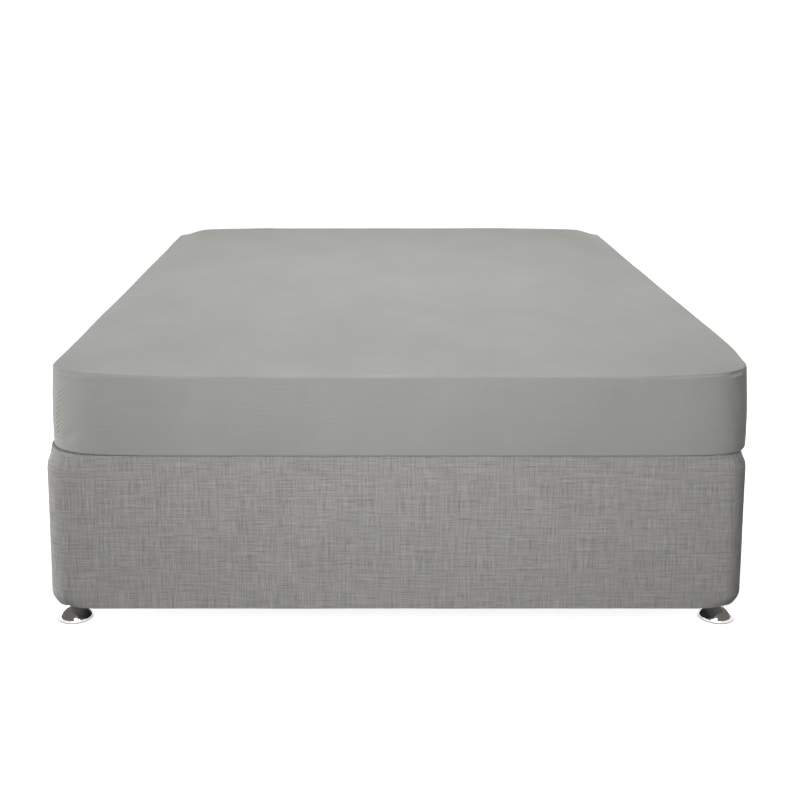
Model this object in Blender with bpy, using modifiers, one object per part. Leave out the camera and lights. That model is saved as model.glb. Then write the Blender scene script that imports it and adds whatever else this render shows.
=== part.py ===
"""A fitted sheet stretched over a mattress, on an upholstered divan bed base with four glides.

Metres, +Z up. The origin is on the floor under the middle of the sheet. The foot end, where the
front wall of the sheet hangs, faces -Y. The head end faces +Y.
"""

import math

import bmesh
import bpy

# Divan base: an upholstered box on four glides
BASE_WIDTH = 1.355
BASE_LENGTH = 1.904
BASE_BOTTOM = 0.0347
BASE_TOP = 0.3450
BASE_SHIFT = -0.0148
BASE_CORNER_RADIUS = 0.048
BASE_CORNER_STEPS = 7
BASE_RIM_RADIUS = 0.0055
BASE_RIM_STEPS = 3
RIM_ANGLE = 60.0

# Glides: turned feet, set in from the corners of the base
GLIDE_RADIUS = 0.0343
GLIDE_FROM_SIDE = 0.044
GLIDE_FROM_END = 0.042
GLIDE_STEPS = 24
AXIS_MERGE = 0.0001

# Sheet and mattress: the taped edge is the fold between the top and the walls
TAPE_HALF_WIDTH = 0.6860
TAPE_HALF_LENGTH = 0.9520
TAPE_HEIGHT = 0.4970
SHOULDER_IN = 0.022
SHOULDER_RISE = 0.0065
CROWN_RISE = 0.0275
CROWN_REACH = 0.130
SHEET_THICKNESS = 0.002
REST_GAP = 0.0003
DRAPE_GAP = 0.002
UNDERSIDE = BASE_TOP + REST_GAP

# The four corners, as (side, end)
CORNERS = {
    "front_left": (-1, -1),
    "front_right": (1, -1),
    "back_left": (-1, 1),
    "back_right": (1, 1),
}

# How far each rounded corner draws the end of the mattress back, as (at the tape, at the hem)
CORNER_DRAW = {
    CORNERS["front_left"]: (0.095, 0.095),
    CORNERS["front_right"]: (0.155, 0.135),
    CORNERS["back_left"]: (0.100, 0.095),
    CORNERS["back_right"]: (0.095, 0.095),
}
TAPE_FULLNESS = 0.33
HEM_FULLNESS = 0.20
CORNER_TURN = 45.0

# Columns of the top panel from its middle to beside its corner, as shares of the half width
COLUMN_SHARES = (0.0, 0.52, 0.82)

# Rows of the top panel from its middle to its corner, as (turn of the plan, share of the side)
ROW_STEPS = (
    (90.0, 0.00),
    (90.0, 0.45),
    (90.0, 0.87),
    (90.0, 1.00),
    (70.0, 1.00),
    (CORNER_TURN, 1.00),
)

# Rings of the wall, as (out from the taped edge, height, share of the mattress's inset that also
# lowers it)
WALL_RINGS = {
    "tape_top": (-0.003, 0.5000, 1),
    "tape_side": (0.001, 0.4905, 1),
    "wall_high": (0.005, 0.4550, 0),
    "wall_middle": (0.007, 0.4200, 0),
    "wall_low": (0.005, 0.3780, 0),
    "roll_side": (0.0055, 0.3505, 0),
}

# Rings on the underside, as the distance in from the taped edge
HEM_RINGS = {
    "roll_under": 0.001,
    "hem_fold": 0.025,
    "hem_edge": 0.090,
}
SOFT_LEVELS = 1

# Profile of a glide from its neck to its rim, as (share of the radius, height)
GLIDE_PROFILE = (
    (0.34, 0.0344),
    (0.34, 0.0290),
    (0.38, 0.0245),
    (0.48, 0.0200),
    (0.64, 0.0160),
    (0.84, 0.0125),
    (0.96, 0.0100),
    (1.00, 0.0065),
    (0.97, 0.0030),
    (0.90, 0.0000),
)

MATERIALS = {
    "sheet_cloth": ((0.405, 0.413, 0.390), 0.80, 0.0),
    "mattress_cover": ((0.75, 0.74, 0.71), 0.85, 0.0),
    "base_linen": ((0.360, 0.355, 0.342), 0.90, 0.0),
    "chrome": ((0.62, 0.62, 0.63), 0.12, 1.0),
}

COLUMN_MIDDLE = len(COLUMN_SHARES)
ROW_MIDDLE = len(ROW_STEPS) - 1
COLUMNS = 2 * COLUMN_MIDDLE
ROWS = 2 * ROW_MIDDLE


def clear_scene():
    """Removes every object that the file opened with."""
    for thing in list(bpy.data.objects):
        bpy.data.objects.remove(thing, do_unlink=True)


def make_material(name):
    """A plain surface with the colour, roughness and metallic value of its row."""
    colour, roughness, metallic = MATERIALS[name]
    material = bpy.data.materials.new(name)
    material.use_nodes = True
    shader = material.node_tree.nodes["Principled BSDF"]
    shader.inputs["Base Color"].default_value = (*colour, 1.0)
    shader.inputs["Roughness"].default_value = roughness
    shader.inputs["Metallic"].default_value = metallic
    return material


def place(name, mesh, material, collection):
    """Puts a mesh in the collection as a named, smooth object."""
    thing = bpy.data.objects.new(name, mesh)
    collection.objects.link(thing)
    thing.data.materials.append(material)
    thing.data.shade_smooth()
    return thing


def mix(start, stop, share):
    """The value a share of the way from start to stop."""
    return start + (stop - start) * share


def round_point(turn, side, end, drop):
    """Plan of a rounded end: turn 0 is the end's middle, turn 90 where the long side begins.

    The plan changes with the drop, from 0 at the tape to 1 at the hem.
    """
    fullness = mix(TAPE_FULLNESS, HEM_FULLNESS, drop)
    draw = mix(*CORNER_DRAW[side, end], drop)
    x = side * TAPE_HALF_WIDTH * math.sin(turn) ** fullness
    y = end * (TAPE_HALF_LENGTH - draw * (1 - math.cos(turn)))
    return x, y


def side_point(step, side, end, drop):
    """Plan point on a long side, at a row counted from the middle."""
    turn, share = ROW_STEPS[step]
    x, y = round_point(math.radians(turn), side, end, drop)
    return x, y * share


def end_point(step, side, end, drop):
    """Plan point on an end, at a column counted from the middle."""
    turn = math.radians(CORNER_TURN)
    if step < len(COLUMN_SHARES):
        fullness = mix(TAPE_FULLNESS, HEM_FULLNESS, drop)
        turn = math.asin(COLUMN_SHARES[step] ** (1 / fullness))
    return round_point(turn, side, end, drop)


def side_and_end(column, row):
    """Which side and which end a place of the grid belongs to."""
    return (1 if column > COLUMN_MIDDLE else -1), (1 if row > ROW_MIDDLE else -1)


def edge_point(column, row, drop):
    """Plan of the edge at a boundary place of the top panel's grid."""
    side, end = side_and_end(column, row)
    if row in (0, ROWS):
        return end_point(abs(column - COLUMN_MIDDLE), side, end, drop)
    return side_point(abs(row - ROW_MIDDLE), side, end, drop)


def edge_normal(column, row, drop):
    """Outward direction of the edge, square to the chord through its neighbours."""
    side, end = side_and_end(column, row)
    on_end = row in (0, ROWS)
    on_side = column in (0, COLUMNS)
    if on_end and on_side:
        before = edge_point(column - side, row, drop)
        after = edge_point(column, row - end, drop)
    elif on_end:
        before = edge_point(column - 1, row, drop)
        after = edge_point(column + 1, row, drop)
    else:
        before = edge_point(column, row - 1, drop)
        after = edge_point(column, row + 1, drop)
    along_x = after[0] - before[0]
    along_y = after[1] - before[1]
    length = math.hypot(along_x, along_y)
    x, y = edge_point(column, row, drop)
    outward = math.copysign(1 / length, along_y * x - along_x * y)
    return along_y * outward, -along_x * outward


def offset_point(column, row, out, height):
    """A point beside the edge, moved outwards in plan. Its height sets its drop."""
    drop = (TAPE_HEIGHT - height) / (TAPE_HEIGHT - UNDERSIDE)
    drop = min(max(drop, 0.0), 1.0)
    x, y = edge_point(column, row, drop)
    normal_x, normal_y = edge_normal(column, row, drop)
    return x + normal_x * out, y + normal_y * out, height


def crown(distance):
    """Share of the crown's rise at a distance in from the taped edge."""
    share = min(distance / CROWN_REACH, 1.0)
    return 1 - (1 - share) ** 3


def row_share(step, side, end):
    """How far out a row lies on a long side, as a share of its corner's place."""
    corner_y = side_point(ROW_MIDDLE, side, end, 0.0)[1]
    return side_point(step, side, end, 0.0)[1] / corner_y


def top_point(column, row, inset):
    """A point of the top panel: its edge is the shoulder, its middle the crown."""
    shoulder = TAPE_HEIGHT + SHOULDER_RISE
    if column in (0, COLUMNS) or row in (0, ROWS):
        return offset_point(column, row, -SHOULDER_IN - inset, shoulder - inset)
    side, end = side_and_end(column, row)
    step = abs(row - ROW_MIDDLE)
    side_x = side_point(step, side, end, 0.0)[0]
    end_x, end_y = end_point(abs(column - COLUMN_MIDDLE), side, end, 0.0)
    corner_x = end_point(COLUMN_MIDDLE, side, end, 0.0)[0]
    x = side_x * end_x / corner_x
    across = 0.5 + 0.5 * x / TAPE_HALF_WIDTH
    y = end_y * mix(row_share(step, -1, end), row_share(step, 1, end), across)
    rise = crown(abs(side_x - x)) * crown(abs(end_y - y))
    return x, y, mix(shoulder, TAPE_HEIGHT + CROWN_RISE, rise) - inset


def ring_point(column, row, ring, inset):
    """A point of one wall ring, stepped in for the mattress."""
    out, height, lowered = ring
    return offset_point(column, row, out - inset, height - inset * lowered)


def add_ring(bm, edges, column_layer, row_layer, point):
    """Draws a new ring out of the open edge and places it, and returns its edges."""
    grown = bmesh.ops.extrude_edge_only(bm, edges=edges)["geom"]
    for vert in grown:
        if isinstance(vert, bmesh.types.BMVert):
            vert.co = point(vert[column_layer], vert[row_layer])
    return [edge for edge in grown if isinstance(edge, bmesh.types.BMEdge) and edge.is_boundary]


def soft_form(inset, underside):
    """The stretched form, open below: the top panel's grid, then ring after ring down and under."""
    bm = bmesh.new()
    bmesh.ops.create_grid(bm, x_segments=COLUMNS, y_segments=ROWS, size=1)
    column_layer = bm.verts.layers.int.new("column")
    row_layer = bm.verts.layers.int.new("row")
    for vert in bm.verts:
        column = round((vert.co.x + 1) * COLUMN_MIDDLE)
        row = round((vert.co.y + 1) * ROW_MIDDLE)
        vert[column_layer] = column
        vert[row_layer] = row
        vert.co = top_point(column, row, inset)
    edges = [edge for edge in bm.edges if edge.is_boundary]
    for ring in WALL_RINGS.values():
        edges = add_ring(
            bm, edges, column_layer, row_layer,
            lambda column, row, ring=ring: ring_point(column, row, ring, inset),
        )
    for tuck in HEM_RINGS.values():
        edges = add_ring(
            bm, edges, column_layer, row_layer,
            lambda column, row, tuck=tuck: offset_point(column, row, -tuck - inset, underside),
        )
    return bm


def finish_mesh(bm, name):
    """Turns the faces outwards, the highest one up, and hands the form over as a mesh."""
    bmesh.ops.recalc_face_normals(bm, faces=bm.faces)
    highest = max(bm.faces, key=lambda face: face.calc_center_median().z)
    if highest.normal.z < 0:
        bmesh.ops.reverse_faces(bm, faces=bm.faces)
    mesh = bpy.data.meshes.new(name)
    bm.to_mesh(mesh)
    bm.free()
    return mesh


def add_subdivision(thing):
    """Rounds a cage."""
    modifier = thing.modifiers.new("round", "SUBSURF")
    modifier.levels = SOFT_LEVELS
    modifier.render_levels = SOFT_LEVELS


def make_sheet(collection, material):
    """The fitted sheet: one cloth over the top, down the walls and under, open in the middle."""
    mesh = finish_mesh(soft_form(0.0, UNDERSIDE), "fitted_sheet")
    thing = place("fitted_sheet", mesh, material, collection)
    add_subdivision(thing)
    thickness = thing.modifiers.new("cloth", "SOLIDIFY")
    thickness.thickness = SHEET_THICKNESS
    thickness.offset = -1
    thickness.use_even_offset = True


def make_mattress(collection, material):
    """The mattress: the same form, inside the sheet, with its underside closed."""
    underside = UNDERSIDE + SHEET_THICKNESS + REST_GAP
    bm = soft_form(SHEET_THICKNESS + DRAPE_GAP, underside)
    bmesh.ops.edgeloop_fill(bm, edges=[edge for edge in bm.edges if edge.is_boundary])
    thing = place("mattress", finish_mesh(bm, "mattress"), material, collection)
    add_subdivision(thing)


def make_base(collection, material):
    """The divan base: a box with round upright corners and tight round edges above and below."""
    bm = bmesh.new()
    bmesh.ops.create_cube(bm, size=1)
    size = (BASE_WIDTH, BASE_LENGTH, BASE_TOP - BASE_BOTTOM)
    bmesh.ops.scale(bm, vec=size, verts=bm.verts)
    centre = (BASE_SHIFT, 0, (BASE_TOP + BASE_BOTTOM) / 2)
    bmesh.ops.translate(bm, vec=centre, verts=bm.verts)
    weight = bm.edges.layers.float.new("bevel_weight_edge")
    for edge in bm.edges:
        heights = [vert.co.z for vert in edge.verts]
        edge[weight] = float(min(heights) < centre[2] < max(heights))
    thing = place("divan_base", finish_mesh(bm, "divan_base"), material, collection)
    uprights = thing.modifiers.new("round uprights", "BEVEL")
    uprights.limit_method = "WEIGHT"
    uprights.width = BASE_CORNER_RADIUS
    uprights.segments = BASE_CORNER_STEPS
    rims = thing.modifiers.new("round rims", "BEVEL")
    rims.limit_method = "ANGLE"
    rims.angle_limit = math.radians(RIM_ANGLE)
    rims.width = BASE_RIM_RADIUS
    rims.segments = BASE_RIM_STEPS


def glide_mesh():
    """Half section of a glide, from the top of its axis down its outer side to the floor."""
    bm = bmesh.new()
    outline = [(0.0, GLIDE_PROFILE[0][1])]
    outline += [(share * GLIDE_RADIUS, height) for share, height in GLIDE_PROFILE]
    outline.append((0.0, GLIDE_PROFILE[-1][1]))
    verts = [bm.verts.new((x, 0.0, height)) for x, height in outline]
    for upper, lower in zip(verts, verts[1:]):
        bm.edges.new((upper, lower))
    mesh = bpy.data.meshes.new("glide")
    bm.to_mesh(mesh)
    bm.free()
    return mesh


def make_glides(collection, material):
    """Four glides under the corners of the base."""
    mesh = glide_mesh()
    reach_x = BASE_WIDTH / 2 - GLIDE_FROM_SIDE
    reach_y = BASE_LENGTH / 2 - GLIDE_FROM_END
    mesh.materials.append(material)
    for corner, (side, end) in CORNERS.items():
        thing = bpy.data.objects.new("glide_" + corner, mesh)
        collection.objects.link(thing)
        thing.location = (BASE_SHIFT + side * reach_x, end * reach_y, 0)
        turned = thing.modifiers.new("turned", "SCREW")
        turned.axis = "Z"
        turned.steps = GLIDE_STEPS
        turned.render_steps = GLIDE_STEPS
        turned.use_merge_vertices = True
        turned.merge_threshold = AXIS_MERGE
        turned.use_smooth_shade = True


def main():
    clear_scene()
    collection = bpy.data.collections.new("fitted_sheet_on_divan")
    bpy.context.scene.collection.children.link(collection)
    make_base(collection, make_material("base_linen"))
    make_glides(collection, make_material("chrome"))
    make_mattress(collection, make_material("mattress_cover"))
    make_sheet(collection, make_material("sheet_cloth"))


main()
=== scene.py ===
"""The looks of a fitted sheet, stretched over a mattress on an upholstered divan bed base.

Metres, +Z up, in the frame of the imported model: the origin is on the floor under the middle of
the sheet. The foot end, where the sheet's front wall hangs, faces -Y.
"""

import math

import bmesh
import bpy
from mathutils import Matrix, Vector, noise


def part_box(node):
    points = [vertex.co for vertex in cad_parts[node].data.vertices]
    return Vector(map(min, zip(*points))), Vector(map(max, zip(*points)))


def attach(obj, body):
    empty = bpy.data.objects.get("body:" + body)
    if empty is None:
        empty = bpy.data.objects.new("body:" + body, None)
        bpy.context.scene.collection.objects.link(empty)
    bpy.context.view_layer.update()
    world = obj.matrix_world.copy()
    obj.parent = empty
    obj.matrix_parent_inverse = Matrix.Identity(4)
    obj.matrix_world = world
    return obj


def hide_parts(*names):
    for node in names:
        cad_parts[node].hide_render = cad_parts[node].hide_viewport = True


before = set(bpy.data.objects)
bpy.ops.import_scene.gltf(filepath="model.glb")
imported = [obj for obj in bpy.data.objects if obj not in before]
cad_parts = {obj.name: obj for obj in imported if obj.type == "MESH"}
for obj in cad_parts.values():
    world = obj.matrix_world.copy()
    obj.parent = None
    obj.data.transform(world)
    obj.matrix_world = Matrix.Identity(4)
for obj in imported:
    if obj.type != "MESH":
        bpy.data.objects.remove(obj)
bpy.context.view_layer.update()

# The boxes of two of the imported model's solids
SHEET_LOW, SHEET_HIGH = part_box("fitted_sheet")
BASE_LOW, BASE_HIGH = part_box("divan_base")

# Plan of the taped edge, the fold between the sheet's top and its walls
WALL_BULGE = 0.0063
FOLD_INSET = 0.0022
TAPE_HALF_WIDTH = SHEET_HIGH.x - WALL_BULGE - FOLD_INSET
TAPE_HALF_LENGTH = SHEET_HIGH.y - WALL_BULGE
TAPE_HEIGHT = 0.4970
SHEET_SHIFT = -0.0015

# How far each corner, as (side, end), draws the end back, as (at the tape, at the hem)
CORNER_DRAW = {
    (-1, -1): (0.100, 0.110),
    (1, -1): (0.110, 0.120),
    (-1, 1): (0.100, 0.095),
    (1, 1): (0.085, 0.090),
}

# How round each corner is, as (at the tape, at the hem). The smaller, the tighter the corner.
CORNER_ROUND = {
    (-1, -1): (0.28, 0.16),
    (1, -1): (0.22, 0.12),
    (-1, 1): (0.33, 0.20),
    (1, 1): (0.33, 0.20),
}

# How soon a corner takes on the form that it has at the hem, on the way down
DROP_EASE = 2.5

# Lift of the front's taped edge towards its corners, as (height, shares of the width, reach)
CORNER_LIFT = (0.0025, (0.55, 0.85), 0.35)

# Height on the walls at which that lift, and the mattress's inset under the top, have faded out
FADE_HEIGHT = 0.40

# Where a long side is drawn in by a corner, as (depth, distance from the middle of the side,
# reach towards the middle, reach towards the corner)
SIDE_DRAW = {(1, -1): (0.0120, 0.860, 0.100, 0.080)}

# The top panel: a flat shoulder behind the tape, then a crown. How far in from the sides and the
# ends it rises is given for the foot end, -1, and the head end, 1. From the sides that changes
# between two places along the bed.
SHOULDER_WIDTH = 0.016
SHOULDER_HEIGHT = 0.5035
CROWN_RISE = 0.0210
CROWN_REACH_SIDES = {-1: 0.26, 1: 0.08}
CROWN_REACH_ENDS = {-1: 0.26, 1: 0.09}
CROWN_CHANGE = (0.35, 0.85)

# The top's rings, by their distance in from the taped edge, and the distances between which
# they turn from the edge's own shape into a smaller plan
TOP_RINGS = (0.0550, 0.0450, 0.0370, 0.0300, 0.0240, 0.0195)
SHRINK_REACH = (0.010, 0.034)

# Section of the sheet from its shoulder to its hem, as (out from the taped edge, height, rings
# to the next row)
UNDERSIDE = SHEET_LOW.z
SECTION = (
    (-0.0160, 0.5035, 2),
    (-0.0105, 0.5021, 2),
    (-0.0060, 0.5014, 2),
    (-0.0025, 0.5008, 2),
    (-0.0007, 0.4998, 2),
    (0.0004, 0.4982, 2),
    (0.0010, 0.4960, 2),
    (0.0014, 0.4920, 2),
    (0.0018, 0.4860, 4),
    (0.0029, 0.4680, 5),
    (0.0042, 0.4430, 5),
    (0.0050, 0.4150, 5),
    (0.0050, 0.3900, 4),
    (0.0047, 0.3700, 4),
    (0.0043, 0.3560, 2),
    (0.0040, 0.3492, 2),
    (0.0036, 0.3462, 2),
    (0.0026, 0.3450, 2),
    (0.0000, UNDERSIDE, 2),
    (-0.0060, UNDERSIDE, 2),
    (-0.0250, UNDERSIDE, 4),
    (-0.0900, UNDERSIDE, 0),
)
SHEET_THICKNESS = 0.002

# Close places round a quarter of the plan: steps of turn at the end, steps along the side
TURN_STEPS = 360
SIDE_STEPS = 200

# Turns in degrees between which every corner's seam lies, and how closely it is found, in radians
SEAM_TURNS = (20, 88)
SEAM_TURN_ERROR = 1e-6

# Spacing of the mesh from a corner seam to the middle of a side
FIRST_STEP = 0.006
STEP_GROWTH = 1.25
FINE_STEPS = 10
WIDEST_STEP = 0.028

# Finer mesh beside a seam: its reach round from the seam, its start and stop down the wall
SEAM_REACH = 0.037
SEAM_DOWN = (-0.022, 0.16)
SEAM_CUTS = 2

# Points closer than this are one. A length or a turn of the second is next to nothing.
WELD = 1e-5
TINY = 1e-9

# Unevenness of the cloth: its height, and its layers of noise as (lumps per metre, share)
UNEVENNESS = 0.0009
LUMPS = ((3.1, 1.0), (8.7, 0.4))

# Heights over the underside between which the cloth's relief fades in
RELIEF_FADE = (0.004, 0.030)

# Where a corner has relief of its own: round from its seam, and down from this on the section
CORNER_REACH = 0.3
CORNER_TOP = -0.02

# The row of gathers on the end's side of each seam: its pitch, half its width, its distance from
# the seam, its fade, and each corner's (height, slant, start, stop), counted down the wall
GATHER_PITCH = 0.0100
GATHER_REACH = 0.009
GATHER_SHIFT = 0.018
GATHER_FADE = 0.01
GATHERS = {
    (-1, -1): (0.00135, 0.65, 0.040, 0.120),
    (1, -1): (0.00040, -0.65, 0.060, 0.135),
    (-1, 1): (0.00070, 0.65, 0.020, 0.120),
    (1, 1): (0.00070, -0.65, 0.020, 0.120),
}

# Folds, as (start, stop, height, width). At a corner they count from its seam, positive on the
# end, and down from the taped edge. On the top they are places in plan.
CORNER_FOLDS = {
    (-1, -1): (
        ((-0.004, 0.0045), (0.070, 0.0055), -0.0021, 0.0026),
        ((-0.004, 0.0095), (0.055, 0.0100), 0.0024, 0.0028),
        ((0.045, 0.132), (0.090, 0.110), -0.0028, 0.0120),
        ((-0.010, 0.060), (0.030, 0.075), 0.0009, 0.0070),
    ),
    (1, -1): (
        ((-0.005, 0.0045), (0.050, 0.0060), -0.0016, 0.0024),
        ((-0.008, 0.0100), (0.045, 0.0110), 0.0016, 0.0030),
        ((0.052, 0.020), (0.040, 0.105), -0.0012, 0.0110),
        ((0.010, 0.132), (0.060, 0.115), -0.0014, 0.0090),
    ),
    (-1, 1): (
        ((-0.010, 0.0060), (0.040, 0.0070), -0.0008, 0.0025),
        ((0.020, 0.120), (0.080, 0.095), -0.0012, 0.0100),
    ),
    (1, 1): (
        ((-0.010, 0.0060), (0.040, 0.0070), -0.0008, 0.0025),
        ((-0.060, 0.100), (-0.010, 0.125), -0.0012, 0.0100),
    ),
}
TOP_FOLDS = (
    ((-0.66, 0.42), (-0.36, 0.95), 0.0016, 0.0300),
    ((-0.20, -0.60), (-0.08, -0.62), -0.0010, 0.0120),
    ((-0.62, -0.70), (-0.40, -0.86), 0.0008, 0.0200),
    ((0.60, -0.66), (0.42, -0.86), 0.0008, 0.0200),
    ((0.30, 0.90), (0.62, 0.60), 0.0010, 0.0260),
)

# Shares of a fold's length over which it rises, and over which it falls again
FOLD_RISE = (-0.1, 0.35)
FOLD_FALL = (0.65, 1.1)

# How far each corner pulls the top down, how that fades away from it, and its fade by the sides
PULLED_CORNERS = {(-1, -1): 0.0020, (1, -1): 0.0025, (-1, 1): 0.0008, (1, 1): 0.0004}
PULL_REACH = (0.05, 0.34)
PULL_FADE = 0.05

# Flat map of the cloth, in metres. A face whose points all lie less than this far down the
# section is on the top, and is mapped in plan. The walls are laid beside it: those of the ends
# this far along, those of the sides this far across and along.
TOP_DOWN = 0.004
END_WALL_PLACE = 3
SIDE_WALL_PLACE = (5, 6)

# Where the seam map puts what lies in the middle of the top
OFF_SEAM = (1, -1)

# Mattress inside the sheet
MATTRESS_INSET = 0.0045

# Upholstered base, with its layers of noise as (lumps per metre, share)
BASE_CORNER_RADIUS = 0.048
BASE_CORNER_SEGMENTS = 12
BASE_RIM_RADIUS = 0.0010
BASE_RIM_SEGMENTS = 4
BASE_FACE_STEP = 0.022
BASE_UNEVENNESS = 0.0006
BASE_LUMPS = ((5.0, 1.0), (13.0, 0.5))

# How far the base's corners are pulled in, as (depth, reach), at its foot and at its top, and
# how that eases off
BASE_PULL = {-1: (0.012, 0.024), 1: (0.020, 0.030)}
BASE_PULL_EASE = 1.7

# Distances from a corner over which the pull fades, and from the rims at which the mesh is cut
BASE_PULL_REACH = (0.030, 0.085)
BASE_PULL_CUTS = (0.0035, 0.006, 0.009, 0.013, 0.018, 0.024, 0.034)

# Flat map of the base. What faces up or down more than this is laid in plan, so far along. The
# strip of its walls begins and ends at the points that are this near the middle of the back.
BASE_LEVEL = 0.75
BASE_LEVEL_PLACE = 3
BASE_STRIP_END = 1e-4

# Glide's section as (share of its radius, height)
GLIDE_SECTION = (
    (0.36, 0.0344), (0.38, 0.0298), (0.43, 0.0260), (0.50, 0.0230), (0.58, 0.0203), (0.66, 0.0178),
    (0.74, 0.0152), (0.81, 0.0128), (0.87, 0.0106), (0.92, 0.0087), (0.96, 0.0069), (0.985, 0.0053),
    (1.0, 0.0036), (0.998, 0.0020), (0.988, 0.0009), (0.97, 0.0003), (0.95, 0.0),
)
GLIDE_TURNS = 64

# Camera: its place, its pitch down in degrees, its lens in millimetres, its picture's shift
CAMERA_PLACE = (-0.0653, -3.3005, 1.1147)
CAMERA_PITCH = 9.67
CAMERA_LENS = 57.86
CAMERA_SHIFT = (0.0372, -0.17)

# Softboxes, as (place, target, size, power), and the world, which only reflections show
SOFTBOXES = {
    "overhead": ((-0.065, 0.10, 2.69), (-0.065, 0.10, 0.0), (2.0, 2.0), 51.8),
    "front_high": ((-0.05, -2.9, 2.5), (0.0, -0.9, 0.45), (1.0, 0.6), 16.0),
    "front": ((-0.05, -2.1, 0.85), (0.0, -0.95, 0.35), (0.9, 0.9), 7.6),
    "front_low": ((0.0, -3.0, 0.32), (0.0, -0.95, 0.3), (2.4, 0.4), 12.2),
    "left_low": ((-2.6, -0.66, 0.28), (-0.7, -0.9, 0.28), (0.7, 0.5), 29.0),
    "left_back": ((-3.0, 1.0, 0.45), (-0.7, 0.2, 0.3), (2.4, 0.8), 42.0),
    "right_back": ((3.2, 2.2, 0.60), (0.7, 0.3, 0.3), (2.4, 1.0), 75.0),
    "back": ((0.0, 3.8, 0.45), (0.0, 0.9, 0.3), (2.4, 0.8), 43.0),
}
WORLD_COLOUR = (0.75, 0.68, 0.62)
WORLD_STRENGTH = 0.25

# Colours
CLOTH_COLOUR = (0.405, 0.411, 0.385)
TICKING_COLOUR = (0.75, 0.74, 0.71)
LINEN_WARM = (0.424, 0.414, 0.390, 1)
LINEN_COOL = (0.414, 0.409, 0.402, 1)
CHROME_COLOUR = (0.72, 0.72, 0.73)
PAPER_COLOUR = (0.8, 0.8, 0.8)
GLOW_COLOUR = (1.0, 1.0, 1.0)

# Each material's grains, as (lumps per metre each way, detail, roughness, shift) as far as they
# aren't the usual ones, and what they weigh in its tone, in its relief and in its roughness. The
# relief's depth is in metres.
PERCALE_GRAINS = {
    "clouds": ((4.6, 3.4, 1), 4.0, 0.6),
    "threads": ((9, 230, 1), 2.0),
    "cross_threads": ((230, 14, 1), 2.0),
    "specks": ((420, 420, 1), 1.0),
    "patches": ((23, 23, 1), 1.0),
}
PERCALE_TONE = {"clouds": 0.13, "threads": 0.05, "cross_threads": 0.025, "specks": 0.07}
PERCALE_RELIEF = {"threads": 0.6, "cross_threads": 0.3, "specks": 0.25, "creases": 2.2}
PERCALE_SHINE = {"clouds": 0.06}
PERCALE_DEPTH = 0.0004
PERCALE_ROUGHNESS = 0.8
PERCALE_SPECULAR = 0.12

TICKING_GRAINS = {"lines": ((320, 12, 12), 1.0), "clouds": ((5, 5, 5), 2.0)}
TICKING_TONE = {"lines": 0.05, "clouds": 0.03}
TICKING_DEPTH = 0.0004
TICKING_ROUGHNESS = 0.85

LINEN_GRAINS = {
    "across": ((26, 520, 1), 2.0, 0.6),
    "upright": ((520, 26, 1), 2.0, 0.6, (3.7, 1.1, 0)),
    "slubs_across": ((9, 260, 1), 1.0, 0.5, (7.1, 0.3, 0)),
    "slubs_upright": ((260, 9, 1), 1.0, 0.5, (1.3, 5.9, 0)),
    "patches": ((34, 34, 1), 1.0, 0.5, (2.9, 8.7, 0)),
    "clouds": ((4.5, 4.5, 1), 2.0, 0.5, (0.4, 4.4, 0)),
    "hues": ((46, 46, 1), 1.0, 0.5, (6.2, 2.3, 0)),
}
LINEN_TONE = {"threads": 0.72, "slubs": 0.20, "clouds": 0.03}
LINEN_RELIEF = {"threads": 1.0, "slubs": 0.5}
LINEN_PATCHING = 0.9
LINEN_DEPTH = 0.0008
LINEN_ROUGHNESS = 0.9
LINEN_SPECULAR = 0.1

CHROME_GRAINS = {"smears": ((160, 160, 60), 3.0)}
CHROME_TONE = {"smears": 0.04}
CHROME_SHINE = {"smears": 0.05}
CHROME_ROUGHNESS = 0.11

# Creases drawn beside a corner's seam: their grain on the seam map, their reach from the seam
CREASE_GRAIN = ((34, 190, 1), 2.0)
CREASE_REACH = 0.05

# Slanted puckers drawn along the tape: pitch, slant in radians per metre down, the middle and
# half the width of their row down the section, reach from the seam, how freely they come, height
PUCKER_PITCH = 0.0065
PUCKER_SLANT = 700.0
PUCKER_MIDDLE = -0.004
PUCKER_HALF_WIDTH = 0.011
PUCKER_REACH = 0.24
PUCKER_COVER = 0.2
PUCKER_HEIGHT = 0.9

# Backdrop's section, as (radius, height) from the floor up
COVE_SECTION = ((9.0, 0.0), (10.5, 0.2), (11.4, 0.8), (11.9, 1.8), (12.0, 3.2), (12.0, 4.6))
COVE_TURNS = 96

# Floor, each shade as (from, to) over its reach. Its glow is painted light, less near the bed
# than far out. Painted shadow makes it dark under the base, well inside its sides, and under
# each glide to just past its rim.
PAPER_ROUGHNESS = 0.9
GLOW_SHADE = (0.86, 1.0)
GLOW_REACH = (1.2, 2.6)
UNDER_PAINTED_SHADOW = (0.04, 1.0)
UNDER_REACH = (-0.20, -0.11)
CONTACT_PAINTED_SHADOW = (0.12, 1.0)
CONTACT_REACH = (0.0330, 0.0365)


def mix(start, stop, share):
    """The value a share of the way from start to stop."""
    return start + (stop - start) * share


def smooth(low, high, value):
    """0 below low, 1 above high, and a soft rise between them."""
    share = min(max((value - low) / (high - low), 0.0), 1.0)
    return share * share * (3 - 2 * share)


def hill(value, middle, width):
    """A soft hill of height 1 over its middle."""
    return math.exp(-(((value - middle) / width) ** 2))


def lumps(co, layers):
    """Soft unevenness at a point, from layers of noise."""
    return sum(share * noise.noise(co * scale) for scale, share in layers)


def corner_at(x, y):
    """The corner, as (side, end), whose quarter of the plan holds a place."""
    return (1 if x > 0 else -1, 1 if y > 0 else -1)


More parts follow.
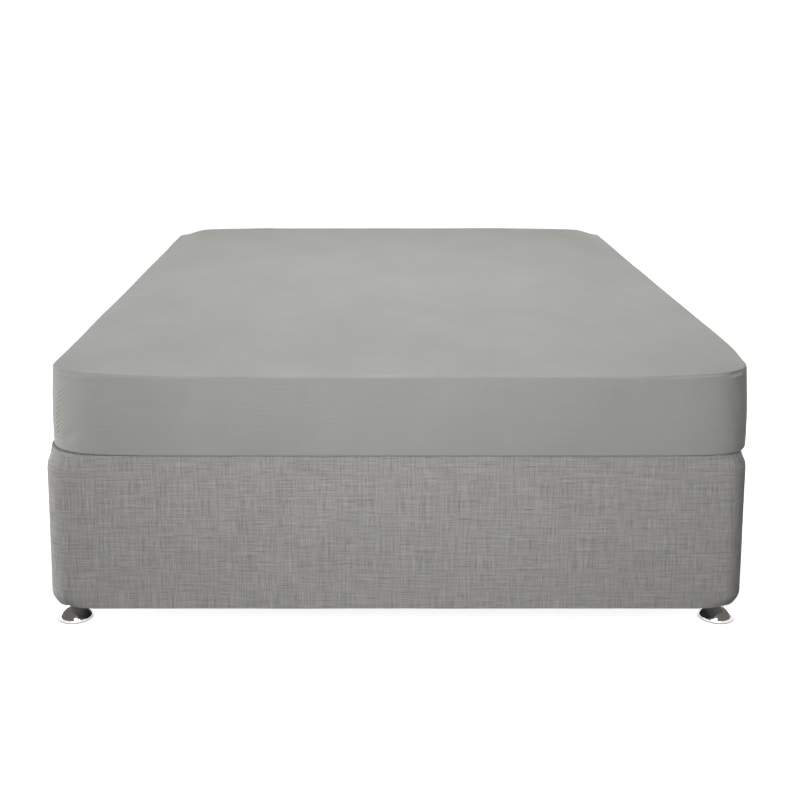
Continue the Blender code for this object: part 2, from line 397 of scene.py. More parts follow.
class Place:
    """A place on the plan's edge: its quarter, its turn round the end, its share of the side."""

    def __init__(self, side, end, turn, share=1.0):
        self.corner = side, end
        self.side = side
        self.end = end
        self.turn = turn
        self.share = share

    def form(self, drop):
        """The corner's roundness and draw at a drop."""
        share = 1 - (1 - drop) ** DROP_EASE
        return mix(*CORNER_ROUND[self.corner], share), mix(*CORNER_DRAW[self.corner], share)

    def point(self, drop):
        """The place in plan. Its drop runs from 0 at the tape to 1 at the hem."""
        roundness, draw = self.form(drop)
        x = TAPE_HALF_WIDTH * math.sin(self.turn) ** roundness
        y = (TAPE_HALF_LENGTH - draw * (1 - math.cos(self.turn))) * self.share
        if self.corner in SIDE_DRAW:
            depth, middle, inner, outer = SIDE_DRAW[self.corner]
            x -= depth * hill(y, middle, inner if y < middle else outer)
        return Vector((self.side * x + SHEET_SHIFT, self.end * y))

    def normal(self, drop):
        """Outward direction of the edge in plan."""
        if self.share < 1:
            return Vector((self.side, 0.0))
        roundness, draw = self.form(drop)
        x = self.side * draw * math.sin(self.turn) ** (2 - roundness)
        y = self.end * TAPE_HALF_WIDTH * roundness * math.cos(self.turn)
        return Vector((x, y)).normalized()


def seam_turn(side, end):
    """The turn at which a corner faces both ways alike, where its seam runs."""
    low, high = (math.radians(turn) for turn in SEAM_TURNS)
    while high - low > SEAM_TURN_ERROR:
        turn = (low + high) / 2
        normal = Place(side, end, turn).normal(0.0)
        if abs(normal.x) < abs(normal.y):
            low = turn
        else:
            high = turn
    return high


def edge_track(side, end):
    """Close places from the middle of an end round the corner to the middle of the side."""
    turns = [math.radians(90 * step / TURN_STEPS) for step in range(1, TURN_STEPS + 1)]
    shares = [1 - step / SIDE_STEPS for step in range(1, SIDE_STEPS + 1)]
    track = [Place(side, end, TINY)] + [Place(side, end, turn) for turn in turns]
    track += [Place(side, end, turns[-1], share) for share in shares]
    lengths = [0.0]
    for before, after in zip(track, track[1:]):
        lengths.append(lengths[-1] + (after.point(0.0) - before.point(0.0)).length)
    return track, lengths


def place_at(track, lengths, length):
    """The place of an edge track at a length along it."""
    length = min(max(length, 0.0), lengths[-1])
    index = next(i for i in range(1, len(lengths)) if lengths[i] >= length - TINY)
    share = (length - lengths[index - 1]) / (lengths[index] - lengths[index - 1])
    before, after = track[index - 1], track[index]
    turn = mix(before.turn, after.turn, share)
    return Place(before.side, before.end, turn, mix(before.share, after.share, share))


def spread(length):
    """Lengths from a seam to the middle of a side: fine at the seam, wider away from it."""
    lengths = [step * FIRST_STEP for step in range(FINE_STEPS + 1)]
    step = FIRST_STEP
    while lengths[-1] < length:
        step = min(step * STEP_GROWTH, WIDEST_STEP)
        lengths.append(lengths[-1] + step)
    return [value * length / lengths[-1] for value in lengths]


class Edge:
    """The stations round the plan that carry the sheet's mesh, by their column and row."""

    def __init__(self):
        self.tracks = {corner: edge_track(*corner) for corner in CORNER_DRAW}
        self.seams = {corner: self.seam_length(corner) for corner in CORNER_DRAW}
        end_steps = spread(self.seams[-1, -1])
        side_steps = spread(self.tracks[-1, -1][1][-1] - self.seams[-1, -1])
        self.end_shares = [step / end_steps[-1] for step in end_steps]
        self.side_shares = [step / side_steps[-1] for step in side_steps]
        self.column_middle = len(end_steps) - 1
        self.row_middle = len(side_steps) - 1
        self.columns = 2 * self.column_middle
        self.rows = 2 * self.row_middle
        self.stations = {}
        for column in range(self.columns + 1):
            for row in (0, self.rows):
                self.stations[column, row] = self.end_station(column, row)
        for row in range(1, self.rows):
            for column in (0, self.columns):
                self.stations[column, row] = self.side_station(column, row)

    def seam_length(self, corner):
        """Length along a corner's track at which its seam runs."""
        track, lengths = self.tracks[corner]
        turn = seam_turn(*corner)
        return next(length for place, length in zip(track, lengths) if place.turn >= turn)

    def end_station(self, column, row):
        """A station on an end, with its signed distance from the nearest seam."""
        side = 1 if column > self.column_middle else -1
        end = 1 if row else -1
        steps = self.columns - column if side > 0 else column
        seam = self.seams[side, end]
        offset = self.end_shares[steps] * seam
        return place_at(*self.tracks[side, end], seam - offset), offset

    def side_station(self, column, row):
        """A station on a long side, with its signed distance from the nearest seam."""
        side = 1 if column else -1
        end = 1 if row > self.row_middle else -1
        steps = self.rows - row if end > 0 else row
        track, lengths = self.tracks[side, end]
        seam = self.seams[side, end]
        offset = self.side_shares[steps] * (lengths[-1] - seam)
        return place_at(track, lengths, seam + offset), -offset


def section_points(inset):
    """The sheet's section as close (out, height) pairs, smooth through its rows."""
    rows = [(out - inset, height) for out, height, steps in SECTION]
    points = []
    for index, (_, _, steps) in enumerate(SECTION):
        near = [Vector(rows[min(max(index + i, 0), len(rows) - 1)]) for i in (-1, 0, 1, 2)]
        for step in range(steps):
            share = step / steps
            slope_in = (near[2] - near[0]) * 0.5
            slope_out = (near[3] - near[1]) * 0.5
            square, cube = share ** 2, share ** 3
            points.append(
                near[1] * (2 * cube - 3 * square + 1) + slope_in * (cube - 2 * square + share)
                + near[2] * (3 * square - 2 * cube) + slope_out * (cube - square)
            )
    return points + [Vector(rows[-1])]


def crown(distance, reach):
    """Share of the crown's rise at a distance in from the taped edge."""
    share = min(max((distance - SHOULDER_WIDTH) / reach, 0.0), 1.0)
    return 1 - (1 - share) ** 2


def top_height(x, y):
    """Height of the top panel at a place in plan."""
    side, end = corner_at(x, y)
    across = min(abs(x) / TAPE_HALF_WIDTH, 1.0)
    turn = math.asin(across ** (1 / CORNER_ROUND[side, end][0]))
    end_y = abs(Place(side, end, turn).point(0.0).y)
    reach = mix(CROWN_REACH_SIDES[-1], CROWN_REACH_SIDES[1], smooth(*CROWN_CHANGE, y))
    rise = crown(TAPE_HALF_WIDTH - abs(x), reach)
    rise *= crown(end_y - abs(y), CROWN_REACH_ENDS[end])
    return SHOULDER_HEIGHT + CROWN_RISE * rise


def inward(place, distance):
    """The move from the taped edge to a ring of the top panel that far in.

    Close to the edge it goes straight in. Further in it shrinks the whole plan, so that no ring
    crosses itself at a corner.
    """
    point = place.point(0.0)
    straight = place.normal(0.0) * -distance
    shrunk = Vector((point.x / TAPE_HALF_WIDTH, point.y / TAPE_HALF_LENGTH)) * -distance
    return straight.lerp(shrunk, smooth(*SHRINK_REACH, distance))


def ring_point(place, out, height):
    """A point beside the taped edge, moved outwards in plan. Its height sets its drop."""
    drop = min(max((TAPE_HEIGHT - height) / (TAPE_HEIGHT - UNDERSIDE), 0.0), 1.0)
    step = inward(place, -out) if out < 0 and height > TAPE_HEIGHT else place.normal(drop) * out
    plan = place.point(drop) + step
    return Vector((plan.x, plan.y, height))


def inner_point(edge, column, row, inset):
    """A point of the top panel's inner grid, blended from the four edges of the grid."""
    across = 0.5 * edge.end_shares[min(column, edge.columns - column)]
    along = 0.5 * edge.side_shares[min(row, edge.rows - row)]
    across = across if column <= edge.column_middle else 1 - across
    along = along if row <= edge.row_middle else 1 - along

    def border(at_column, at_row):
        place = edge.stations[at_column, at_row][0]
        return place.point(0.0) + inward(place, TOP_RINGS[0] + inset)

    last_column, last_row = edge.columns, edge.rows
    ends = mix(border(column, 0), border(column, last_row), along)
    sides = mix(border(0, row), border(last_column, row), across)
    near = mix(border(0, 0), border(last_column, 0), across)
    far = mix(border(0, last_row), border(last_column, last_row), across)
    plan = ends + sides - mix(near, far, along)
    return Vector((plan.x, plan.y, top_height(plan.x, plan.y) - inset))


def up_to_tape(height):
    """0 low on the walls, rising to 1 at the taped edge."""
    return smooth(FADE_HEIGHT, TAPE_HEIGHT, height)


def corner_lift(co):
    """How far the front's taped edge is lifted at a point, towards its corners."""
    height, (low, high), reach = CORNER_LIFT
    lift = height * smooth(low, high, abs(co.x) / TAPE_HALF_WIDTH)
    near = 1 - smooth(0.0, reach, co.y + TAPE_HALF_LENGTH)
    return lift * near * up_to_tape(co.z)


def open_rim(items):
    """The open edges among some items of a mesh."""
    return [item for item in items if isinstance(item, bmesh.types.BMEdge) and item.is_boundary]


def extrude_rim(bm, rim):
    """Draws a new ring out of an open rim. Returns its vertices and its own rim."""
    grown = bmesh.ops.extrude_edge_only(bm, edges=rim)["geom"]
    return [item for item in grown if isinstance(item, bmesh.types.BMVert)], open_rim(grown)


def grow_ring(bm, rim, layers, point):
    """Draws a new ring out of an open rim, and places it by its stations."""
    verts, rim = extrude_rim(bm, rim)
    for vert in verts:
        vert.co = point(vert[layers["column"]], vert[layers["row"]])
    return verts, rim


def top_grid(edge, inset):
    """The top panel's inner grid.

    Each vertex keeps its signed distance from the nearest seam and its length down the section
    from the taped edge, which is negative on the top.
    """
    bm = bmesh.new()
    bmesh.ops.create_grid(bm, x_segments=edge.columns, y_segments=edge.rows, size=1)
    layers = {
        "column": bm.verts.layers.int.new("column"),
        "row": bm.verts.layers.int.new("row"),
        "seam": bm.verts.layers.float.new("seam"),
        "down": bm.verts.layers.float.new("down"),
    }
    for vert in bm.verts:
        column = round((vert.co.x + 1) * edge.column_middle)
        row = round((vert.co.y + 1) * edge.row_middle)
        vert[layers["column"]] = column
        vert[layers["row"]] = row
        vert[layers["seam"]] = edge.stations.get((column, row), (None, 1.0))[1]
        vert[layers["down"]] = -1.0
        vert.co = inner_point(edge, column, row, inset)
    return bm, layers


def stretched_form(edge, inset, underside):
    """The cloth's form, open below: the top panel's grid, then ring after ring to the hem."""
    bm, layers = top_grid(edge, inset)
    rim = open_rim(bm.edges)

    def top_ring(distance):
        def point(column, row):
            place = edge.stations[column, row][0]
            plan = place.point(0.0) + inward(place, distance + inset)
            return Vector((plan.x, plan.y, top_height(plan.x, plan.y) - inset))
        return point

    def section_ring(out, height):
        def point(column, row):
            ring = ring_point(edge.stations[column, row][0], out, height)
            ring.z = max(ring.z - inset * up_to_tape(height), underside)
            return ring
        return point

    for distance in TOP_RINGS[1:]:
        verts, rim = grow_ring(bm, rim, layers, top_ring(distance))
        for vert in verts:
            vert[layers["down"]] = -distance
    section = section_points(inset)
    lengths = [0.0]
    for before, after in zip(section, section[1:]):
        lengths.append(lengths[-1] + (after - before).length)
    tape = next(length for point, length in zip(section, lengths) if point.x + inset >= 0)
    for (out, height), length in zip(section, lengths):
        verts, rim = grow_ring(bm, rim, layers, section_ring(out, height))
        for vert in verts:
            vert[layers["down"]] = length - tape
    for vert in bm.verts:
        vert.co.z += corner_lift(vert.co)
    return bm, layers


def finish_normals(bm):
    """Turns the faces outwards, the highest one up."""
    bmesh.ops.recalc_face_normals(bm, faces=bm.faces)
    highest = max(bm.faces, key=lambda face: face.calc_center_median().z)
    if highest.normal.z < 0:
        bmesh.ops.reverse_faces(bm, faces=bm.faces)


def lay_cloth_map(bm, layers):
    """Lays the cloth's two UV maps, in metres.

    One is the flat cloth: the top in plan, each wall round its outline. The other counts from the
    row of gathers beside the nearest seam, and down the section from the taped edge.
    """
    cloth = bm.loops.layers.uv.new("cloth")
    seam_map = bm.loops.layers.uv.new("seam")
    for face in bm.faces:
        middle = face.calc_center_median()
        downs = [vert[layers["down"]] for vert in face.verts]
        by_seam = min(downs) > CORNER_TOP
        on_top = max(downs) < TOP_DOWN
        facing_end = sum(vert[layers["seam"]] for vert in face.verts) > 0
        for loop in face.loops:
            x, y, _ = loop.vert.co
            seam, down = loop.vert[layers["seam"]], loop.vert[layers["down"]]
            loop[seam_map].uv = (seam - GATHER_SHIFT, down) if by_seam else OFF_SEAM
            if on_top:
                loop[cloth].uv = (x, y)
            elif facing_end:
                loop[cloth].uv = (x, math.copysign(END_WALL_PLACE, middle.y) - down)
            else:
                across, along = SIDE_WALL_PLACE
                loop[cloth].uv = (y + math.copysign(across, middle.x), along - down)


def add_object(name, data):
    """Puts a new object with its data into the scene."""
    added = bpy.data.objects.new(name, data)
    bpy.context.scene.collection.objects.link(added)
    return added


def add_mesh(name, bm, finish):
    """Puts a finished bmesh into the scene with its material."""
    mesh = bpy.data.meshes.new(name)
    bm.to_mesh(mesh)
    bm.free()
    mesh.materials.append(finish)
    return add_object(name, mesh)


def add_piece(name, bm, finish):
    """Puts a finished bmesh into the scene as a smooth piece of the part."""
    piece = add_mesh(name, bm, finish)
    piece.data.shade_smooth()
    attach(piece, "root")
    return piece


def fold(point, start, stop, height, width):
    """Height of a soft straight fold at a point. It fades out at both of its ends."""
    along = stop - start
    share = (point - start).dot(along) / along.length_squared
    nearest = start + along * min(max(share, 0.0), 1.0)
    fade = smooth(*FOLD_RISE, share) * (1 - smooth(*FOLD_FALL, share))
    return height * fade * hill((point - nearest).length, 0.0, width)


def folds(point, rows):
    """Height of several folds together at a point."""
    return sum(
        fold(point, Vector(start), Vector(stop), height, width)
        for start, stop, height, width in rows
    )


def gathers(corner, seam, down):
    """The row of small slanted gathers that a corner's seam draws up."""
    height, slant, first, last = GATHERS[corner]
    wave = math.cos(math.tau * (down + slant * seam) / GATHER_PITCH)
    reach = hill(seam, GATHER_SHIFT, GATHER_REACH)
    start = smooth(first - GATHER_FADE, first, down)
    stop = 1 - smooth(last, last + GATHER_FADE, down)
    return height * wave * reach * start * stop


def corner_dip(plan, corner):
    """How far a corner pulls the top down at a place in plan."""
    tip = Vector((corner[0] * TAPE_HALF_WIDTH, corner[1] * TAPE_HALF_LENGTH))
    near = 1 - smooth(*PULL_REACH, (plan - tip).length)
    return PULLED_CORNERS[corner] * near * smooth(0.0, PULL_FADE, TAPE_HALF_WIDTH - abs(plan.x))


def relief(co, corner, seam, down):
    """How far the cloth stands out of its smooth form."""
    out = UNEVENNESS * lumps(co, LUMPS)
    if down > CORNER_TOP and abs(seam) < CORNER_REACH:
        out += gathers(corner, seam, down) + folds(Vector((seam, down)), CORNER_FOLDS[corner])
    if co.z > TAPE_HEIGHT:
        plan = Vector((co.x, co.y))
        out += folds(plan, TOP_FOLDS) - corner_dip(plan, corner)
    low, high = RELIEF_FADE
    return out * smooth(UNDERSIDE + low, UNDERSIDE + high, co.z)


def refine_seams(bm, layers):
    """Gives the cloth a finer mesh beside its corner seams."""
    top, foot = SEAM_DOWN
    edges = set()
    for face in bm.faces:
        downs = [vert[layers["down"]] for vert in face.verts]
        seams = [abs(vert[layers["seam"]]) for vert in face.verts]
        if max(seams) < SEAM_REACH and min(downs) > top and max(downs) < foot:
            edges.update(face.edges)
    bmesh.ops.subdivide_edges(bm, edges=list(edges), cuts=SEAM_CUTS, use_grid_fill=True)
    bm.normal_update()


def make_sheet(edge, finish):
    """The fitted sheet: one cloth over the top, down the walls and under to its hem."""
    bm, layers = stretched_form(edge, 0.0, UNDERSIDE)
    finish_normals(bm)
    lay_cloth_map(bm, layers)
    refine_seams(bm, layers)
    moves = []
    for vert in bm.verts:
        corner = corner_at(vert.co.x, vert.co.y)
        height = relief(vert.co, corner, vert[layers["seam"]], vert[layers["down"]])
        moves.append(vert.normal * height)
    for vert, move in zip(bm.verts, moves):
        vert.co += move
    sheet = add_piece("sheet_cloth", bm, finish)
    thickness = sheet.modifiers.new("cloth", "SOLIDIFY")
    thickness.thickness = SHEET_THICKNESS
    thickness.offset = -1
    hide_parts("fitted_sheet")


def make_mattress(edge, finish):
    """The plain mattress that fills the sheet and lies on its hem."""
    bm, _ = stretched_form(edge, MATTRESS_INSET, UNDERSIDE + MATTRESS_INSET)
    bmesh.ops.edgeloop_fill(bm, edges=open_rim(bm.edges))
    finish_normals(bm)
    mattress = add_piece("mattress_block", bm, finish)
    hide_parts("mattress")
    return mattress


def wrapped_length(x, y, half_x, half_y):
    """Length round the base's plan to a point, from the middle of its front."""
    corner = BASE_CORNER_RADIUS * math.pi / 2
    flat_x, flat_y = half_x - BASE_CORNER_RADIUS, half_y - BASE_CORNER_RADIUS
    over_x, over_y = max(abs(x) - flat_x, 0.0), max(abs(y) - flat_y, 0.0)
    turn = math.atan2(over_x, over_y) / (math.pi / 2) if over_x or over_y else 0.0
    quarter = min(abs(x), flat_x) + corner * turn + (flat_y - min(abs(y), flat_y)) * (over_x > 0)
    if y > 0:
        quarter = 2 * (flat_x + corner + flat_y) - quarter
    return math.copysign(quarter, x)


def corner_pull(co, half):
    """How far a point by a corner of the base is drawn in, where its cloth is pulled round."""
    over_x = max(abs(co.x) - half.x + BASE_CORNER_RADIUS, 0.0)
    over_y = max(abs(co.y) - half.y + BASE_CORNER_RADIUS, 0.0)
    outward = Vector((math.copysign(over_x, co.x), math.copysign(over_y, co.y), 0.0))
    if outward.length < BASE_CORNER_RADIUS - 2 * BASE_RIM_RADIUS:
        return Vector((0, 0, 0))
    from_corner = max(half.x - abs(co.x), half.y - abs(co.y))
    near = 1 - smooth(*BASE_PULL_REACH, from_corner)
    level = 1 if co.z > 0 else -1
    depth, reach = BASE_PULL[level]
    share = max(1 - (half.z - abs(co.z)) / reach, 0.0)
    return outward.normalized() * -(depth * share ** BASE_PULL_EASE * near)


def level_of(edge, height):
    """-1 for an edge at the foot of a box, 0 for an upright one, 1 for one at its top."""
    return round((edge.verts[0].co.z + edge.verts[1].co.z) / height)


def rounded_box(size):
    """A box round the origin, with round corners and narrow round rims."""
    bm = bmesh.new()
    bmesh.ops.create_cube(bm, size=1.0)
    for vert in bm.verts:
        vert.co = Vector(a * b for a, b in zip(vert.co, size))
    for level, radius, segments in (
        (0, BASE_CORNER_RADIUS, BASE_CORNER_SEGMENTS),
        (-1, BASE_RIM_RADIUS, BASE_RIM_SEGMENTS),
        (1, BASE_RIM_RADIUS, BASE_RIM_SEGMENTS),
    ):
        edges = [e for e in bm.edges if level_of(e, size.z) == level]
        bmesh.ops.bevel(
            bm, geom=edges, offset=radius, segments=segments, profile=0.5, affect="EDGES",
            material=-1,
        )
    return bm


def cut_faces(bm, size):
    """Cuts a box's faces into a grid, which is closer at its foot and top."""
    for axis in range(3):
        half = size[axis] / 2 - BASE_CORNER_RADIUS
        steps = 2 * max(round(half / BASE_FACE_STEP), 1)
        cuts = [mix(-half, half, step / steps) for step in range(steps + 1)]
        if axis == 2:
            cuts += [cut - size.z / 2 for cut in BASE_PULL_CUTS]
            cuts += [size.z / 2 - cut for cut in BASE_PULL_CUTS]
        normal = Vector((0, 0, 0))
        normal[axis] = 1
        for cut in cuts:
            geom = bm.verts[:] + bm.edges[:] + bm.faces[:]
            bmesh.ops.bisect_plane(bm, geom=geom, dist=WELD, plane_co=normal * cut, plane_no=normal)


def lay_base_map(bm, size):
    """Lays the base's UV map, in metres: its walls as one strip, what lies level in plan."""
    cloth = bm.loops.layers.uv.new("cloth")
    for face in bm.faces:
        middle = face.calc_center_median()
        for loop in face.loops:
            x, y, z = loop.vert.co
            if abs(face.normal.z) > BASE_LEVEL:
                loop[cloth].uv = (x, y + BASE_LEVEL_PLACE)
            else:
                length = wrapped_length(x, y, size.x / 2, size.y / 2)
                if abs(x) < BASE_STRIP_END and y > 0:
                    length = math.copysign(length, middle.x)
                loop[cloth].uv = (length, z)


def make_base(finish):
    """The upholstered base: a soft box with pulled corners. Its uneven faces stay inside it."""
    size = BASE_HIGH - BASE_LOW
    middle = (BASE_HIGH + BASE_LOW) / 2
    bm = rounded_box(size)
    cut_faces(bm, size)
    finish_normals(bm)
    lay_base_map(bm, size)
    for vert in bm.verts:
        vert.co += corner_pull(vert.co, size / 2)
    bm.normal_update()
    for vert in bm.verts:
        out = BASE_UNEVENNESS * (lumps(vert.co, BASE_LUMPS) - 1.0)
        vert.co += vert.normal * out + middle
    base = add_piece("base_box", bm, finish)
    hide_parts("divan_base")


def make_glide(corner, finish):
    """A turned glide under one corner of the base."""
    low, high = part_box("glide_" + corner)
    radius = (high.x - low.x) / 2
    axis = Vector(((low.x + high.x) / 2, (low.y + high.y) / 2, low.z))
    bm = bmesh.new()
    outline = [bm.verts.new((radius * share, 0, height)) for share, height in GLIDE_SECTION]
    outline.insert(0, bm.verts.new((0, 0, GLIDE_SECTION[0][1])))
    outline.append(bm.verts.new((0, 0, GLIDE_SECTION[-1][1])))
    edges = [bm.edges.new(pair) for pair in zip(outline, outline[1:])]
    bmesh.ops.spin(
        bm, geom=outline + edges, cent=(0, 0, 0), axis=(0, 0, 1), angle=math.tau,
        steps=GLIDE_TURNS, use_merge=True,
    )
    bmesh.ops.remove_doubles(bm, verts=bm.verts, dist=WELD)
    for vert in bm.verts:
        vert.co += axis
    finish_normals(bm)
    glide = add_piece("glide_turned_" + corner, bm, finish)
    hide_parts("glide_" + corner)


SHADER_SOCKETS = {
    "emission_strength": "Emission Strength",
    "metallic": "Metallic",
    "specular_ior_level": "Specular IOR Level",
}


class Signal:
    """The output of a shader node, with the arithmetic of numbers."""

    def __init__(self, finish, socket):
        self.finish = finish
        self.socket = socket

    def __add__(self, other):
        return self.finish.maths("ADD", self, other)

    def __sub__(self, other):
        return self.finish.maths("SUBTRACT", self, other)

    def __rsub__(self, other):
        return self.finish.maths("SUBTRACT", other, self)

    def __mul__(self, other):
        return self.finish.maths("MULTIPLY", self, other)

    __radd__ = __add__
    __rmul__ = __mul__


class Finish:
    """A material drawn with nodes round one surface shader."""

    def __init__(self, name, roughness, **constants):
        self.material = bpy.data.materials.new(name)
        self.material.use_nodes = True
        self.tree = self.material.node_tree
        self.shader = self.tree.nodes["Principled BSDF"]
        self.shader.inputs["Roughness"].default_value = roughness
        for key, value in constants.items():
            self.shader.inputs[SHADER_SOCKETS[key]].default_value = value

    def node(self, kind, settings, sockets, output=0):
        """Adds a node: its settings first, then its sockets. Returns one of its outputs."""
        node = self.tree.nodes.new(kind)
        for key, value in settings.items():
            setattr(node, key, value)
        for key, value in sockets.items():
            if isinstance(value, Signal):
                self.tree.links.new(value.socket, node.inputs[key])
            else:
                node.inputs[key].default_value = value
        return Signal(self, node.outputs[output])

    def maths(self, operation, first, second):
        """The result of one operation on two values."""
        return self.node("ShaderNodeMath", {"operation": operation}, {0: first, 1: second})

    def flat_map(self, name):
        """Places on one of the mesh's own UV maps."""
        return self.node("ShaderNodeUVMap", {"uv_map": name}, {})

    def place(self):
        """Places in the object itself."""
        return self.node("ShaderNodeTexCoord", {}, {}, "Object")

    def parts(self, vector):
        """The first two parts of a vector."""
        first = self.node("ShaderNodeSeparateXYZ", {}, {"Vector": vector})
        return first, Signal(self, first.socket.node.outputs[1])

    def size(self, value):
        """A value without its sign."""
        return self.maths("ABSOLUTE", value, 0.0)

    def ramp(self, value, low, high, start, stop):
        """From start to stop while a value goes from low to high."""
        return self.node(
            "ShaderNodeMapRange", {},
            {"Value": value, "From Min": low, "From Max": high, "To Min": start, "To Max": stop},
        )

    def grain(self, place, scale, detail=2.0, roughness=0.5, shift=(0, 0, 0)):
        """Noise round 0, its scale counted in lumps per metre each way."""
        scaled = self.node(
            "ShaderNodeMapping", {"vector_type": "POINT"},
            {"Vector": place, "Scale": scale, "Location": shift},
        )
        noise_value = self.node(
            "ShaderNodeTexNoise", {"noise_dimensions": "3D"},
            {"Vector": scaled, "Scale": 1.0, "Detail": detail, "Roughness": roughness},
        )
        return noise_value * 2.0 - 1.0

    def grains(self, place, rows):
        """Several grains by their names."""
        return {name: self.grain(place, *settings) for name, settings in rows.items()}

    def near(self, distance, reach):
        """1 where a distance is 0, falling to 0 at its reach."""
        return self.maths("MAXIMUM", 1.0 - distance * (1 / reach), 0.0)

    def blend(self, share, low, high):
        """The colour a share of the way from low to high."""
        return self.node(
            "ShaderNodeMix", {"data_type": "RGBA"}, {0: share, 6: low, 7: high}, 2,
        )

    def tint(self, colour, strength):
        """A colour made stronger or weaker."""
        return self.node(
            "ShaderNodeVectorMath", {"operation": "SCALE"}, {"Vector": colour, "Scale": strength},
        )

    def relief(self, height, depth):
        """Feeds the shader a bumped surface. Its height is counted in the depth."""
        bumps = {"Height": height, "Distance": depth, "Strength": 1.0}
        self.feed("Normal", self.node("ShaderNodeBump", {}, bumps))

    def feed(self, key, signal):
        """Leads a signal into one of the shader's sockets."""
        self.tree.links.new(signal.socket, self.shader.inputs[key])


def weigh(grains, weights, start=0.0):
    """Some grains, added to a start by their weights."""
    return sum((grains[name] * weight for name, weight in weights.items()), start)


def percale():
    """Smooth matt cotton: clouded tone, faint threads, creases by the seams and the tape."""
    finish = Finish("sheet_percale", PERCALE_ROUGHNESS, specular_ior_level=PERCALE_SPECULAR)
    grains = finish.grains(finish.flat_map("cloth"), PERCALE_GRAINS)
    seam_map = finish.flat_map("seam")
    beside, below = finish.parts(seam_map)
    apart = finish.size(beside)
    grains["creases"] = finish.grain(seam_map, *CREASE_GRAIN) * finish.near(apart, CREASE_REACH)
    waves = finish.maths("SINE", beside * (math.tau / PUCKER_PITCH) + below * PUCKER_SLANT, 0.0)
    by_tape = finish.near(finish.size(below - PUCKER_MIDDLE), PUCKER_HALF_WIDTH)
    patchy = finish.maths("MAXIMUM", grains["patches"] + PUCKER_COVER, 0.0)
    puckers = waves * by_tape * finish.near(apart, PUCKER_REACH) * patchy * PUCKER_HEIGHT
    finish.feed("Base Color", finish.tint(CLOTH_COLOUR, weigh(grains, PERCALE_TONE, 1.0)))
    finish.feed("Roughness", weigh(grains, PERCALE_SHINE, PERCALE_ROUGHNESS))
    finish.relief(weigh(grains, PERCALE_RELIEF) + puckers, PERCALE_DEPTH)
    return finish.material


def ticking():
    """The mattress cover: pale, with a fine twill line."""
    finish = Finish("mattress_ticking", TICKING_ROUGHNESS)
    grains = finish.grains(finish.place(), TICKING_GRAINS)
    finish.feed("Base Color", finish.tint(TICKING_COLOUR, weigh(grains, TICKING_TONE, 1.0)))
    finish.relief(grains["lines"], TICKING_DEPTH)
    return finish.material


def linen():
    """Upholstery with a linen look: uneven threads both ways, with slubs and mixed greys."""
    finish = Finish("base_linen", LINEN_ROUGHNESS, specular_ior_level=LINEN_SPECULAR)
    grains = finish.grains(finish.flat_map("cloth"), LINEN_GRAINS)
    share = 0.5 + grains["patches"] * LINEN_PATCHING
    grains["threads"] = grains["across"] * share + grains["upright"] * (1.0 - share)
    grains["slubs"] = grains["slubs_across"] + grains["slubs_upright"]
    colour = finish.blend(0.5 + grains["hues"], LINEN_COOL, LINEN_WARM)
    finish.feed("Base Color", finish.tint(colour, weigh(grains, LINEN_TONE, 1.0)))
    finish.relief(weigh(grains, LINEN_RELIEF), LINEN_DEPTH)
    return finish.material


def chrome():
    """Polished chrome with faint smears."""
    finish = Finish("glide_chrome", CHROME_ROUGHNESS, metallic=1.0)
    grains = finish.grains(finish.place(), CHROME_GRAINS)
    finish.feed("Base Color", finish.tint(CHROME_COLOUR, weigh(grains, CHROME_TONE, 1.0)))
    finish.feed("Roughness", weigh(grains, CHROME_SHINE, CHROME_ROUGHNESS))
    return finish.material


def painted_floor_shadow(finish, place):
    """Painted shadow on the floor: dark well under the base and in a ring where each glide touches
    it.
    """
    x, y = finish.parts(place)
    base_middle, base_half = (BASE_HIGH.x + BASE_LOW.x) / 2, (BASE_HIGH.x - BASE_LOW.x) / 2
    past_side = finish.size(x - base_middle) - base_half
    past_end = finish.size(y) - BASE_HIGH.y
    past_base = finish.maths("MAXIMUM", past_side, past_end)
    # Painted shadow under the base, fading out towards its sides and ends
    under = finish.ramp(past_base, *UNDER_REACH, *UNDER_PAINTED_SHADOW)
    glide_low, glide_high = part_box("glide_back_right")
    glide = (glide_low + glide_high) / 2
    beside = finish.size(x - base_middle) - (glide.x - base_middle)
    before = finish.size(y) - glide.y
    apart = finish.maths("SQRT", beside * beside + before * before, 0.0)
    # Painted contact shadow in a ring round each glide
    return under * finish.ramp(apart, *CONTACT_REACH, *CONTACT_PAINTED_SHADOW)


def paper():
    """White paper for the floor and backdrop. It glows a little, so that it reads as white: that
    glow is painted light. Painted shadow darkens it under the base and the glides.
    """
    finish = Finish("studio_paper", PAPER_ROUGHNESS, emission_strength=1.0)
    place = finish.place()
    length = {"operation": "LENGTH"}
    distance = finish.node("ShaderNodeVectorMath", length, {"Vector": place}, "Value")
    # The glow is painted light, less near the bed than far out
    glow = finish.ramp(distance, *GLOW_REACH, *GLOW_SHADE)
    shade = painted_floor_shadow(finish, place)
    # Painted shadow darkens both the paper's colour and its glow
    finish.feed("Base Color", finish.tint(PAPER_COLOUR, shade))
    finish.feed("Emission Color", finish.tint(GLOW_COLOUR, glow * shade))
    return finish.material


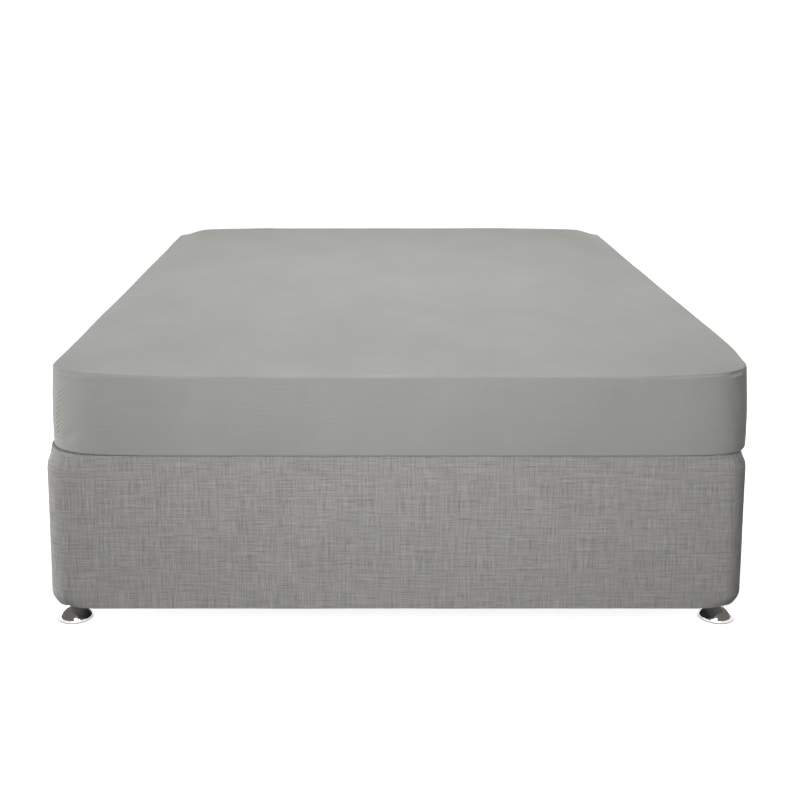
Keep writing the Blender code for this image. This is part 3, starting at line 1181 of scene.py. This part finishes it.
def make_camera():
    """The camera at the photograph's place, gently pitched down."""
    data = bpy.data.cameras.new("camera")
    data.lens = CAMERA_LENS
    data.shift_x, data.shift_y = CAMERA_SHIFT
    camera = add_object("camera", data)
    camera.location = CAMERA_PLACE
    camera.rotation_euler = (math.radians(90 - CAMERA_PITCH), 0, 0)
    bpy.context.scene.camera = camera


def add_softbox(name, place, target, size, power):
    """A softbox that faces its target and doesn't show itself."""
    data = bpy.data.lights.new(name, "AREA")
    data.shape = "RECTANGLE"
    data.size, data.size_y = size
    data.energy = power
    light = add_object(name, data)
    light.location = place
    light.rotation_euler = (Vector(target) - Vector(place)).to_track_quat("-Z", "Y").to_euler()
    light.visible_camera = False


def make_backdrop():
    """A white floor that rises into a backdrop all round. It doesn't light the bed."""
    bm = bmesh.new()
    bmesh.ops.create_circle(bm, cap_ends=True, radius=COVE_SECTION[0][0], segments=COVE_TURNS)
    rim = open_rim(bm.edges)
    for radius, height in COVE_SECTION[1:]:
        verts, rim = extrude_rim(bm, rim)
        for vert in verts:
            plan = Vector((vert.co.x, vert.co.y)).normalized() * radius
            vert.co = (plan.x, plan.y, height)
    floor = add_mesh("studio_paper", bm, paper())
    floor.visible_diffuse = False


def make_world():
    """A faint world that only reflections show."""
    world = bpy.data.worlds.new("studio")
    world.use_nodes = True
    background = world.node_tree.nodes["Background"]
    background.inputs["Color"].default_value = (*WORLD_COLOUR, 1)
    background.inputs["Strength"].default_value = WORLD_STRENGTH
    world.cycles_visibility.diffuse = False
    bpy.context.scene.world = world


def make_studio():
    """The backdrop, the world and the softboxes, with colours shown plainly."""
    make_backdrop()
    make_world()
    for name, settings in SOFTBOXES.items():
        add_softbox(name, *settings)
    bpy.context.scene.view_settings.view_transform = "Standard"


def main():
    """Draws the pieces, then the camera and the studio."""
    edge = Edge()
    mattress = make_mattress(edge, ticking())
    make_sheet(edge, percale())
    make_base(linen())
    bright = chrome()
    for corner in ("front_left", "front_right", "back_left", "back_right"):
        make_glide(corner, bright)
    make_camera()
    make_studio()


main()
